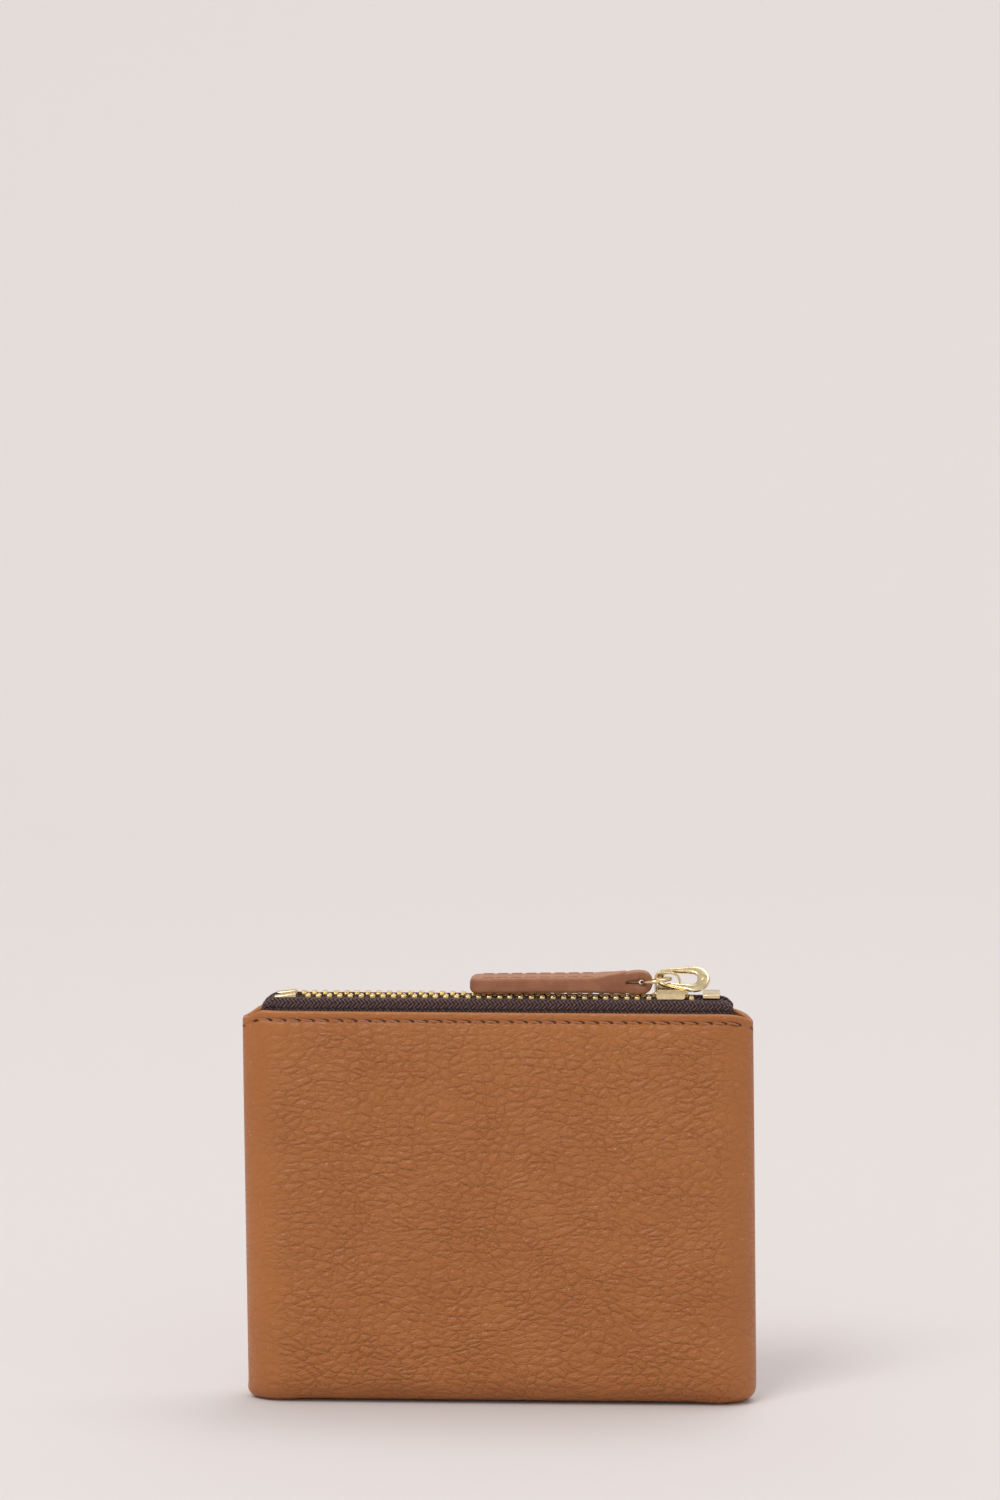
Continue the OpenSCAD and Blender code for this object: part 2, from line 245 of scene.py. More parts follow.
def pebbled_height(n, place, wide=0.58, tall=1.0, cell=0.56):
    """Height of soft leather's grain: domed pebbles, wider than tall, with creases between them."""
    warp = n.add("TexNoise", {"Vector": place, "Scale": 0.045, "Detail": 1.0}, output=1)
    warp = n.add("VectorMath", {0: warp, 1: (0.5, 0.5, 0.5)}, operation="SUBTRACT")
    warp = n.add("VectorMath", {0: warp, 3: 9.0}, operation="SCALE")
    jitter = n.add("TexNoise", {"Vector": place, "Scale": 0.45, "Detail": 3.0}, output=1)
    jitter = n.add("VectorMath", {0: jitter, 1: (0.5, 0.5, 0.5)}, operation="SUBTRACT")
    jitter = n.add("VectorMath", {0: jitter, 3: 1.25}, operation="SCALE")
    place = n.add("VectorMath", {0: place, 1: warp}, operation="ADD")
    place = n.add("VectorMath", {0: place, 1: jitter}, operation="ADD")
    place = n.add("VectorMath", {0: place, 1: (wide, tall, 1.0)}, operation="MULTIPLY")
    big = n.add("TexVoronoi", {"Vector": place, "Scale": cell, "Randomness": 0.95},
                feature="DISTANCE_TO_EDGE", voronoi_dimensions="2D")
    small = n.add("TexVoronoi", {"Vector": place, "Scale": cell * 2.0, "Randomness": 1.0},
                  feature="DISTANCE_TO_EDGE", voronoi_dimensions="2D")
    dome = n.ramp(big, 0.0, 0.46)
    crease = n.ramp(big, 0.0, 0.09)
    pits = n.ramp(small, 0.0, 0.26)
    patchy = n.add("TexNoise", {"Vector": place, "Scale": 0.22, "Detail": 1.0})
    patchy = n.ramp(patchy, 0.36, 0.62, 0.60, 1.0)
    fine = n.add("TexNoise", {"Vector": place, "Scale": 4.0, "Detail": 3.0})
    height = n.math("MULTIPLY_ADD", crease, 0.35, dome)
    height = n.math("MULTIPLY", height, patchy)
    height = n.math("MULTIPLY_ADD", pits, 0.30, height)
    return n.math("MULTIPLY_ADD", fine, 0.08, height), crease


def leather_material():
    n = Nodes("pebbled_leather")
    place = n.surface_mm()
    split = n.tree.nodes.new("ShaderNodeSeparateXYZ")
    n.set(split, {0: place})
    along, below = split.outputs[0], n.math("MULTIPLY", split.outputs[1], -1.0)
    height, creases = pebbled_height(n, place)

    # The grain fades at the turned edge, the side folds and the left end
    edge_fade = n.ramp(below, 1.6, 8.0, 0.35, 1.0)
    side = n.math("ABSOLUTE", along)
    side_fade = n.ramp(side, 46.0, 55.0, 1.0, 0.3)
    left_fade = n.ramp(along, -56.0, -40.0, 0.55, 1.0)
    fade = n.math("MULTIPLY", n.math("MULTIPLY", edge_fade, side_fade), left_fade)
    height = n.math("MULTIPLY", height, fade)

    # Needle holes at both ends of each stitch
    phase = n.math("FRACT", n.math("ADD", n.math("DIVIDE", along, STITCH_PITCH / MM), 100.5))
    across = n.math("MULTIPLY", n.math("SUBTRACT", phase, 0.5), STITCH_PITCH / MM)
    drop = n.math("SUBTRACT", below, (STITCH_DROP + EDGE_ARC) / MM)
    slant = n.math("ADD", across, n.math("MULTIPLY", drop, -1.2))
    hole = n.math("ADD", n.math("POWER", n.math("DIVIDE", slant, 0.62), 2.0),
                  n.math("POWER", n.math("DIVIDE", drop, 0.30), 2.0))
    hole = n.ramp(hole, 0.25, 1.3, 1.0, 0.0)
    groove = n.ramp(n.math("ABSOLUTE", drop), 0.15, 0.75, 1.0, 0.0)
    height = n.math("MULTIPLY_ADD", groove, -0.45, height)
    height = n.math("MULTIPLY_ADD", hole, -1.1, height)

    cloud = n.add("TexNoise", {"Vector": place, "Scale": 0.05, "Detail": 3.0})
    tone = n.mix(n.ramp(cloud, 0.3, 0.7), rgb(0.398, 0.131, 0.028), rgb(0.430, 0.146, 0.033))
    # Painted shade: the colour is darker in the creases between the pebbles
    tone = n.mix(n.ramp(creases, 0.0, 1.0, 0.13, 0.0), tone, rgb(0.22, 0.066, 0.018))
    # Painted highlight: the colour is lighter along the top of the turned edge
    tone = n.mix(n.ramp(below, 0.3, 1.3, 0.45, 0.0), tone, rgb(0.50, 0.20, 0.075))
    speck = n.add("TexVoronoi", {"Vector": place, "Scale": 0.11, "Randomness": 1.0},
                  voronoi_dimensions="2D")
    tone = n.mix(n.ramp(speck, 0.010, 0.018, 0.5, 0.0), tone, rgb(0.70, 0.48, 0.34))
    # Painted shade: the needle holes are coloured near black
    tone = n.mix(hole, tone, rgb(0.035, 0.010, 0.006))
    rough = n.ramp(creases, 0.0, 1.0, 0.55, 0.40)
    bump = n.add("Bump", {"Strength": 0.9, "Distance": 0.34 * MM, "Height": height})
    n.set(n.shader, {"Base Color": tone, "Roughness": rough, "Normal": bump,
                     "Specular IOR Level": 0.45})
    return n.material


def tab_leather_material():
    """Painted edge on the sides, fine grain on the two faces."""
    n = Nodes("tab_leather")
    place = n.object_mm()
    normal = n.add("NewGeometry", output=1)
    split = n.tree.nodes.new("ShaderNodeSeparateXYZ")
    n.set(split, {0: normal})
    face = n.ramp(n.math("ABSOLUTE", split.outputs[2]), 0.75, 0.9)
    height, creases = pebbled_height(n, place, 0.9, 0.9, 0.75)
    streak = n.add("TexNoise", {"Vector": place, "Scale": 0.35, "Detail": 3.0})
    smoothed = n.math("MULTIPLY", streak, 0.3)
    height = n.math("ADD", n.math("MULTIPLY", height, face), smoothed)
    paint = n.mix(n.ramp(streak, 0.35, 0.65), rgb(0.272, 0.098, 0.043), rgb(0.325, 0.125, 0.057))
    # Painted shade: the grain colour is darker in the creases
    grain = n.mix(n.ramp(creases, 0.0, 0.8, 0.35, 0.0), rgb(0.42, 0.175, 0.085), rgb(0.29, 0.10, 0.045))
    bump = n.add("Bump", {"Strength": 0.5, "Distance": 0.2 * MM, "Height": height})
    n.set(n.shader, {"Base Color": n.mix(face, paint, grain), "Roughness": 0.42, "Normal": bump,
                     "Specular IOR Level": 0.45})
    return n.material


def woven_material(name, dark, light, thread=0.86, shade_line_at=None):
    """Twill cloth: slanted threads whose slant turns over from one narrow band to the next."""
    n = Nodes(name)
    place = n.surface_mm()
    split = n.tree.nodes.new("ShaderNodeSeparateXYZ")
    n.set(split, {0: place})
    u, v = split.outputs[0], split.outputs[1]
    band = n.math("PINGPONG", v, 0.85)
    turn = 2 * math.pi / thread
    warp = n.math("SINE", n.math("MULTIPLY", n.math("ADD", u, band), turn))
    weft = n.math("SINE", n.math("MULTIPLY", n.math("SUBTRACT", n.math("MULTIPLY", v, 1.7), u), turn * 0.5))
    fuzz = n.add("TexNoise", {"Vector": place, "Scale": 1.5, "Detail": 5.0, "Roughness": 0.75})
    height = n.math("MULTIPLY_ADD", weft, 0.45, warp)
    height = n.math("MULTIPLY_ADD", n.math("SUBTRACT", fuzz, 0.5), 3.0, height)
    # The colour follows the weave's height: darker in the gaps between threads is painted shade, and the
    # fuzz adds fibre tone
    tone = n.mix(n.ramp(height, -0.9, 1.5), dark, light)
    # Painted shade: a dashed near-black line, with a groove in the bump, just above the leather's edge
    if shade_line_at is not None:
        drop = n.math("ABSOLUTE", n.math("SUBTRACT", v, shade_line_at))
        dash = n.math("SINE", n.math("MULTIPLY", u, 2 * math.pi / 1.5))
        seam = n.math("MULTIPLY", n.ramp(drop, 0.10, 0.34, 1.0, 0.0), n.ramp(dash, -0.7, 0.2, 0.3, 1.0))
        tone = n.mix(seam, tone, rgb(0.008, 0.004, 0.004))
        height = n.math("MULTIPLY_ADD", seam, -3.0, height)
    bump = n.add("Bump", {"Strength": 1.0, "Distance": 0.20 * MM, "Height": height})
    n.set(n.shader, {"Base Color": tone, "Roughness": 0.78, "Normal": bump,
                     "Specular IOR Level": 0.3, "Sheen Weight": 0.12, "Sheen Roughness": 0.5})
    return n.material


def thread_material():
    n = Nodes("thread")
    place = n.object_mm()
    ply = n.add("TexWave", {"Vector": place, "Scale": 1.6, "Distortion": 0.6, "Detail": 1.0},
                output=1, bands_direction="DIAGONAL")
    tone = n.mix(ply, rgb(0.32, 0.118, 0.055), rgb(0.46, 0.195, 0.105))
    bump = n.add("Bump", {"Strength": 0.6, "Distance": 0.06 * MM, "Height": ply})
    n.set(n.shader, {"Base Color": tone, "Roughness": 0.6, "Normal": bump, "Sheen Weight": 0.1})
    return n.material


def metal_material(name, tone, roughness, wear):
    """Polished plating with faint scratches and slightly duller patches."""
    n = Nodes(name)
    place = n.object_mm()
    stretched = n.add("VectorMath", {0: place, 1: (0.6, 6.0, 2.5)}, operation="MULTIPLY")
    scratch = n.add("TexNoise", {"Vector": stretched, "Scale": 3.0, "Detail": 4.0})
    patch = n.add("TexNoise", {"Vector": place, "Scale": 0.9, "Detail": 2.0})
    darker = tuple(0.82 * c for c in tone[:3]) + (1.0,)
    bump = n.add("Bump", {"Strength": wear, "Distance": 0.02 * MM, "Height": scratch})
    n.set(n.shader, {"Base Color": n.mix(n.ramp(patch, 0.3, 0.7), darker, tone), "Metallic": 1.0,
                     "Roughness": n.ramp(patch, 0.3, 0.7, roughness, roughness * 1.5), "Normal": bump})
    return n.material


def board_material():
    n = Nodes("stiffener_board")
    place = n.object_mm()
    fibre = n.add("TexNoise", {"Vector": place, "Scale": 1.8, "Detail": 5.0})
    bump = n.add("Bump", {"Strength": 0.4, "Distance": 0.05 * MM, "Height": fibre})
    n.set(n.shader, {"Base Color": n.mix(fibre, rgb(0.45, 0.36, 0.26), rgb(0.62, 0.53, 0.42)),
                     "Roughness": 0.85, "Normal": bump})
    return n.material


LEATHER_LOOK = leather_material()
TAB_LOOK = tab_leather_material()
TAPE_LOOK = woven_material("zip_tape_weave", rgb(0.014, 0.005, 0.005), rgb(0.235, 0.118, 0.106),
                           shade_line_at=0.55)
LINING_LOOK = woven_material("lining_cloth", rgb(0.030, 0.014, 0.011), rgb(0.085, 0.045, 0.036), 0.3)
THREAD_LOOK = thread_material()
GOLD_LOOK = metal_material("gold_plating", rgb(0.88, 0.70, 0.41), 0.16, 0.25)
TEETH_LOOK = metal_material("zip_brass", rgb(0.90, 0.66, 0.28), 0.22, 0.35)
BOARD_LOOK = board_material()


# ------------------------------------------------------------------ the pouch's form
def depth_at(z):
    """Half the depth of the pouch at height z, in its middle."""
    swell = RIM + (BELLY - RIM) * (1 - (z / EDGE_Z) ** 2)
    if z >= FOOT_RISE:
        return swell
    foot = FOOT / BELLY
    return swell * (foot + (1 - foot) * math.sqrt(1 - (1 - max(z, 0) / FOOT_RISE) ** 2))


def edge_drop(x):
    """How far the top edge falls towards the two side seams: a slope at the left, a round at the right."""
    left = 2.0 * MM * smooth((-x - LEFT_TURN) / (HALF_W - LEFT_TURN))
    over = min(max((x - RIGHT_TURN) / (HALF_W - RIGHT_TURN), 0.0), 1.0)
    return left + 3.2 * MM * (1 - math.sqrt(1 - 0.95 * over ** 3))


def plan_points():
    """Across the pouch, seam to seam: (x, share of the full depth)."""
    arc, flat = 18, 150
    ends = [(math.sin(a), math.cos(a)) for a in (math.pi / 2 * k / arc for k in range(arc + 1))]
    left = [(-(HALF_W - END_ROUND) - END_ROUND * s, c) for s, c in reversed(ends)]
    right = [((HALF_W - END_ROUND) + END_ROUND * s, c) for s, c in ends]
    half = HALF_W - END_ROUND
    middle = [(lerp(-half, half, k / flat), 1.0) for k in range(1, flat)]
    return left + middle + right


def profile_points():
    """Up the wall: (share of the depth at that height, height as a share of the edge's)."""
    bottom = [(k / 4 * FOOT, 0.0) for k in range(4)]
    steps, shoulder = 52, EDGE_Z - 5 * MM
    heights = [FOOT_RISE * (1 - math.cos(math.pi / 2 * k / 10)) for k in range(11)]
    heights += [lerp(FOOT_RISE, shoulder, k / steps) for k in range(1, steps)]
    heights += [lerp(shoulder, EDGE_Z - 0.6 * MM, k / 16) for k in range(17)]
    return bottom + [(depth_at(z), z) for z in heights]


def soft_shape(x, z):
    """How far the leather stands off the plain form: broad waves, and puckers at the stitches."""
    wave = noise.noise(Vector((x * 42, z * 55, 3.1))) * 0.34
    wave += noise.noise(Vector((x * 130, z * 150, 7.7))) * 0.12
    below = EDGE_Z - edge_drop(x) - z
    calm = smooth(below / (12 * MM)) * smooth(z / (9 * MM))
    groove = -0.30 * math.exp(-((below - STITCH_DROP) / (0.7 * MM)) ** 2)
    pucker = 0.10 * math.cos(2 * math.pi * x / STITCH_PITCH)
    pucker *= math.exp(-((below - 3.4 * MM) / (1.6 * MM)) ** 2)
    tip_in = -0.35 * math.exp(-(below / (5 * MM)) ** 2)
    return (wave * calm + groove + pucker + tip_in) * MM


def wall_point(x, share, depth, z, inset):
    """A point of the front wall (y below 0); inset moves it inward."""
    low = max(CORNER - z, 0)
    waist = HALF_W - (CORNER - math.sqrt(max(CORNER ** 2 - low ** 2, 0)))
    lift = 0.45 * MM * smooth((HALF_W - 5 * MM - abs(x)) / (8 * MM)) * smooth(1 - z / (9 * MM))
    z_here = z * (EDGE_Z - edge_drop(x)) / EDGE_Z + lift
    seam = 0.55 * MM * (1 - smooth(depth * share / (1.3 * MM)))
    pillow = 1 - PILLOW * (x / HALF_W) ** 2
    stand = soft_shape(x, z_here) * smooth(share * 1.5) * smooth(depth / (6 * MM))
    y = max(depth * pillow + stand - inset, 0) * share
    lean = LEAN * (0.5 - z_here / EDGE_Z) * smooth(z_here / (4 * MM))
    return Vector((x * (waist - inset - seam) / HALF_W + lean, -y, max(z_here, inset)))


def wall_rows(thickness):
    """The wall's grid: up the outside, over the turned edge and down the inside."""
    plan = plan_points()
    profile = profile_points()
    rows = [[wall_point(x, s, d, z, 0) for x, s in plan] for d, z in profile]
    r = thickness / 2
    top_d, top_z = profile[-1]
    for k in range(1, 8):
        a = math.pi * k / 8
        rows.append([wall_point(x, s, top_d, top_z, r - r * math.cos(a)) + Vector((0, 0, r * math.sin(a)))
                     for x, s in plan])
    inner = [p for p in reversed(profile) if p[1] == 0 or p[1] > thickness]
    rows += [[wall_point(x, s, d, z, thickness) for x, s in plan] for d, z in inner]
    return rows


def surface_uv(rows):
    """(u, v) of each grid point: place along X, and minus the distance down from the turned edge."""
    middle = len(rows[0]) // 2
    column = [row[middle] for row in rows]
    length = [0.0]
    for before, after in zip(column, column[1:]):
        length.append(length[-1] + (after - before).length)
    top = max(range(len(column)), key=lambda k: column[k].z)
    xs = [p.x for p in rows[len(rows) // 4]]
    return lambda i, j: (xs[j % len(xs)], -abs(length[i % len(rows)] - length[top]))


def mirrored(rows):
    return [[Vector((p.x, -p.y, p.z)) for p in row] for row in rows]


def two_halves(name, rows, material):
    """A wall in a left and a right half, split at the middle."""
    middle = len(rows[0]) // 2
    uv = surface_uv(rows)
    halves = []
    for side, first, last in (("left", 0, middle), ("right", middle, len(rows[0]) - 1)):
        part = [row[first:last + 1] for row in rows]
        obj = grid_object(f"{name}_{side}", part, material,
                          uv=lambda i, j, first=first: uv(i, j + first), wrap_rows=True)
        halves.append(obj)
    return halves


def open_with_mouth(left, right):
    """Bakes both halves' placement into their meshes."""
    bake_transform(left)
    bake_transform(right)


def make_walls():
    rows = wall_rows(LEATHER)
    left, right = two_halves("front_leather", rows, LEATHER_LOOK)
    rear = grid_object("rear_leather", mirrored(rows), LEATHER_LOOK, uv=surface_uv(rows), wrap_rows=True)
    for obj in (left, right, rear):
        close_ends(obj)
    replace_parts(left, "front_panel")
    open_with_mouth(left, right)
    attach(rear, "root")
    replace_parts(rear, "rear_panel")


def close_ends(obj):
    """Fills the open rims at the side seams and turns the faces outward."""
    bm = bmesh.new()
    bm.from_mesh(obj.data)
    rims = [e for e in bm.edges if e.is_boundary and all(abs(v.co.x) > 5 * MM for v in e.verts)]
    bmesh.ops.holes_fill(bm, edges=rims, sides=0)
    bmesh.ops.recalc_face_normals(bm, faces=bm.faces)
    bm.to_mesh(obj.data)
    bm.free()


# ------------------------------------------------------------------ lining
def lining_rows(side):
    """The lining hangs just inside the wall, with soft folds."""
    plan = plan_points()[::2]
    inset = LEATHER + SHEET + 0.15 * MM
    rows = []
    for step in range(40):
        z = lerp(inset, EDGE_Z - 1.2 * MM, step / 39)
        row = []
        for x, share in plan:
            fold = 0.25 * MM * (noise.noise(Vector((x * 90, z * 25, 1.3 + side))) + 0.6) * smooth(share)
            point = wall_point(x, share, depth_at(z), z, inset + fold)
            row.append(Vector((point.x, side * abs(point.y), point.z)))
        rows.append(row)
    return rows


def thicken(obj, thickness):
    solid = obj.modifiers.new("thickness", "SOLIDIFY")
    solid.thickness = thickness
    solid.offset = 0


def make_stiffeners():
    """Thin boards behind the leather, following its curve."""
    for side, name in ((-1, "front"), (1, "rear")):
        inset = LEATHER + SHEET / 2 + 0.05 * MM
        rows = []
        for step in range(30):
            z = lerp(3 * MM, EDGE_Z - 9 * MM, step / 29)
            row = [wall_point(x, s, depth_at(z), z, inset) for x, s in plan_points()[6:-6:3]]
            rows.append([Vector((p.x, side * abs(p.y), p.z)) for p in row])
        middle = len(rows[0]) // 2
        if side > 0:
            boards = [grid_object("rear_board", rows, BOARD_LOOK)]
            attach(boards[0], "root")
        else:
            boards = [grid_object("front_board_left", [row[:middle + 1] for row in rows], BOARD_LOOK),
                      grid_object("front_board_right", [row[middle:] for row in rows], BOARD_LOOK)]
        for board in boards:
            thicken(board, SHEET)
        if side < 0:
            open_with_mouth(*boards)
        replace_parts(boards[0], f"{name}_stiffener")


def make_linings():
    for side, name in ((-1, "front"), (1, "rear")):
        rows = lining_rows(side)
        if side > 0:
            obj = grid_object("rear_lining_cloth", rows, LINING_LOOK, uv=surface_uv(rows))
            thicken(obj, LINING)
            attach(obj, "root")
            pieces = [obj]
        else:
            middle = len(rows[0]) // 2
            uv = surface_uv(rows)
            pieces = []
            for part, first, last in (("left", 0, middle), ("right", middle, len(rows[0]) - 1)):
                obj = grid_object(f"front_lining_cloth_{part}", [row[first:last + 1] for row in rows],
                                  LINING_LOOK, uv=lambda i, j, first=first: uv(i, j + first))
                thicken(obj, LINING)
                pieces.append(obj)
            open_with_mouth(*pieces)
        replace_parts(pieces[0], f"{name}_lining")


# ------------------------------------------------------------------ stitching
def make_top_stitching():
    count = int((2 * HALF_W - 4 * MM) / STITCH_PITCH)
    for side, name in ((-1, "front"), (1, "rear")):
        built = {}
        for k in range(count):
            x = (k - (count - 1) / 2) * STITCH_PITCH
            part = "left" if side < 0 and x < 0 else "right"
            bm = built.setdefault(part if side < 0 else "all", bmesh.new())
            tube(bm, stitch_path(x, side), 0.20 * MM, sides=8)
        pieces = {}
        for part, bm in built.items():
            pieces[part] = from_bmesh(f"{name}_stitches_{part}", bm, THREAD_LOOK)
        for obj in pieces.values():
            outward(obj)
        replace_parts(next(iter(pieces.values())), f"{name}_top_stitching")
        if side < 0:
            open_with_mouth(pieces["left"], pieces["right"])
        else:
            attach(pieces["all"], "root")


def stitch_path(x, side):
    """One stitch: out of its hole, along the leather with a slight slant, and back in."""
    path = []
    for k in range(9):
        t = k / 8 - 0.5
        sx = x + t * STITCH_PITCH * 0.74
        z = EDGE_Z - edge_drop(sx) - STITCH_DROP - t * 0.34 * MM
        share = plan_share(sx)
        y = (depth_at(z) * (1 - PILLOW * (sx / HALF_W) ** 2) + soft_shape(sx, z)) * share
        bow = 0.22 * MM * math.cos(math.pi * t * 1.15) - 0.10 * MM
        path.append(Vector((sx * (1 - 0.001), side * (y + bow), z)))
    return path


def plan_share(x):
    over = (abs(x) - (HALF_W - END_ROUND)) / END_ROUND
    return math.sqrt(max(1 - over * over, 0)) if over > 0 else 1.0


# ------------------------------------------------------------------ zip
def tape_height(x):
    """Share of the tape's full rise at x: it rounds down at both ends."""
    left = (-x - 48.2 * MM) / (3.9 * MM)
    right = (x - 47.3 * MM) / (3.9 * MM)
    over = min(max(left, right, 0.0), 1.0)
    return math.sqrt(1 - over * over)


def tape_rows():
    """The rear tape: rows along X, each row a closed section from inside the wall to the bead."""
    bend = 0.9 * MM
    centre_y, centre_z = TAPE_OUT - bend, TAPE_MID + SHEET / 2 - bend
    outer = [(TAPE_OUT + 0.2 * MM, EDGE_Z - 7 * MM), (TAPE_OUT, EDGE_Z - 2 * MM), (TAPE_OUT, EDGE_Z)]
    outer += [(TAPE_OUT, lerp(EDGE_Z, centre_z, k / 6)) for k in range(1, 6)]
    outer += [(centre_y + bend * math.cos(a), centre_z + bend * math.sin(a))
              for a in (math.pi / 2 * k / 8 for k in range(9))]
    outer += [(lerp(centre_y, BEAD_Y, k / 4), TAPE_MID + SHEET / 2) for k in range(1, 4)]
    bead = [(BEAD_Y + 0.5 * MM * math.cos(a), TAPE_MID + 0.5 * MM * math.sin(a))
            for a in (math.radians(60 + 30 * k) for k in range(9))]
    inner_bend = bend - SHEET
    inner = [(lerp(BEAD_Y, centre_y, k / 4), TAPE_MID - SHEET / 2) for k in range(1, 4)]
    inner += [(centre_y + inner_bend * math.cos(a), centre_z + inner_bend * math.sin(a))
              for a in (math.pi / 2 * (1 - k / 6) for k in range(7))]
    inner += [(TAPE_OUT - SHEET, EDGE_Z), (TAPE_OUT - SHEET + 0.2 * MM, EDGE_Z - 7 * MM)]
    section = outer + bead + inner
    rows = []
    steps = 130
    for k in range(steps + 1):
        x = lerp(-TAPE_HALF_L, TAPE_HALF_L, k / steps)
        if x > 47 * MM:
            x = lerp(47 * MM, x, 0.78)
        share = tape_height(x)
        row = []
        for y, z in section:
            ripple = noise.noise(Vector((x * 260, z * 260, 5.0))) * 0.10 * MM
            ends = smooth((abs(x) - 46 * MM) / (5 * MM))
            lump = noise.noise(Vector((x * 520, z * 400, 9.0))) * 0.50 * MM * ends
            over = max(z - EDGE_Z, 0)
            y_here = y - smooth((abs(x) - 45 * MM) / (8 * MM)) * 1.5 * MM
            rough = ripple + lump
            row.append(Vector((x, y_here + rough, min(z, EDGE_Z) + over * share + rough * 0.6)))
        rows.append(row)
    return rows, section


def make_tapes():
    rows, section = tape_rows()
    heights = [0.0]
    for before, after in zip(section, section[1:]):
        heights.append(heights[-1] + math.hypot(after[0] - before[0], after[1] - before[1]))
    at_edge = heights[2]

    def uv(i, j, rows=rows):
        return rows[i][0].x, heights[j % len(heights)] - at_edge

    rear = grid_object("rear_tape", rows, TAPE_LOOK, uv=uv, wrap_cols=True)
    front_rows = mirrored(rows)
    middle = len(rows) // 2
    left = grid_object("front_tape_left", front_rows[:middle + 1], TAPE_LOOK, uv=uv, wrap_cols=True)
    right = grid_object("front_tape_right", front_rows[middle:], TAPE_LOOK,
                        uv=lambda i, j: uv(i + middle, j), wrap_cols=True)
    for obj in (rear, left, right):
        close_ends(obj)
    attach(rear, "root")
    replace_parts(rear, "rear_zip_tape")
    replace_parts(left, "front_zip_tape")
    open_with_mouth(left, right)


def add_tooth(bm, x, side, wobble):
    """One tooth: two legs round the bead and a narrower head with a raised nib."""
    half_t, half_h, length = 0.58 * MM, 0.80 * MM, 2.6 * MM
    place = Matrix.Translation((x, 0, TAPE_MID)) @ Matrix.Rotation(wobble, 4, "Z")
    y0, y1 = side * HEAD_GAP, side * (HEAD_GAP + length)
    y_waist = side * (HEAD_GAP + 0.95 * MM)
    rounded_box(bm, (-half_t, min(y_waist, y1), -half_h),
                (half_t, max(y_waist, y1), half_h), 0.20 * MM, 2, place)
    head_t, head_h = half_t * 0.86, half_h * 0.78
    rounded_box(bm, (-head_t, min(y0, y_waist), -head_h),
                (head_t, max(y0, y_waist), head_h), 0.18 * MM, 2, place)
    y_nib = side * (HEAD_GAP + 0.45 * MM)
    rounded_box(bm, (-0.3 * MM, y_nib - 0.25 * MM, 0.4 * MM), (0.3 * MM, y_nib + 0.25 * MM, 0.86 * MM),
                0.1 * MM, 2, place)


def make_teeth():
    chance = random.Random(4)
    first = -0.5 * TOOTH_PITCH * (TOOTH_COUNT - 1)
    for side, name, shift in ((-1, "front", 0.0), (1, "rear", -TOOTH_PITCH / 2)):
        built = {}
        for k in range(TOOTH_COUNT):
            x = first + shift + k * TOOTH_PITCH
            part = ("left" if x < 0 else "right") if side < 0 else "all"
            bm = built.setdefault(part, bmesh.new())
            add_tooth(bm, x, side, chance.uniform(-0.05, 0.05))
        pieces = {part: from_bmesh(f"{name}_teeth_{part}", bm, TEETH_LOOK) for part, bm in built.items()}
        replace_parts(next(iter(pieces.values())), f"{name}_zip_teeth")
        if side < 0:
            open_with_mouth(pieces["left"], pieces["right"])
        else:
            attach(pieces["all"], "root")


def make_stops():
    for side, name in ((-1, "front"), (1, "rear")):
        low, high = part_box(f"{name}_top_stop")
        bm = bmesh.new()
        middle = (low + high) / 2
        slope = Matrix.Translation(middle) @ Matrix.Rotation(math.radians(-7), 4, "Y")
        half = (high - low) / 2
        rounded_box(bm, -half, half, 0.35 * MM, 3, slope)
        obj = from_bmesh(f"{name}_stop_clip", bm, GOLD_LOOK)
        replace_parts(obj, f"{name}_top_stop")
        if side < 0:
            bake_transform(obj)
        else:
            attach(obj, "root")
    low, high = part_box("bottom_stop")
    bm = bmesh.new()
    rounded_box(bm, (low.x, low.y, high.z - 0.9 * MM), (high.x, high.y, high.z), 0.22 * MM)
    rounded_box(bm, (low.x, low.y, low.z), (high.x, high.y, low.z + 0.6 * MM), 0.15 * MM)
    rounded_box(bm, (low.x, -1.7 * MM, low.z), (high.x, 1.7 * MM, high.z - 0.2 * MM), 0.1 * MM)
    obj = from_bmesh("bottom_stop_clip", bm, GOLD_LOOK)
    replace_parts(obj, "bottom_stop")
    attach(obj, "root")


# ------------------------------------------------------------------ slider and pull
def joint_place(name):
    joint = next(j for j in frame["record"]["behaviour"]["joints"] if j["name"] == name)
    return Vector(joint["pos_m"])


def joint_axis(name):
    joint = next(j for j in frame["record"]["behaviour"]["joints"] if j["name"] == name)
    return Vector(joint["axis"]).normalized()


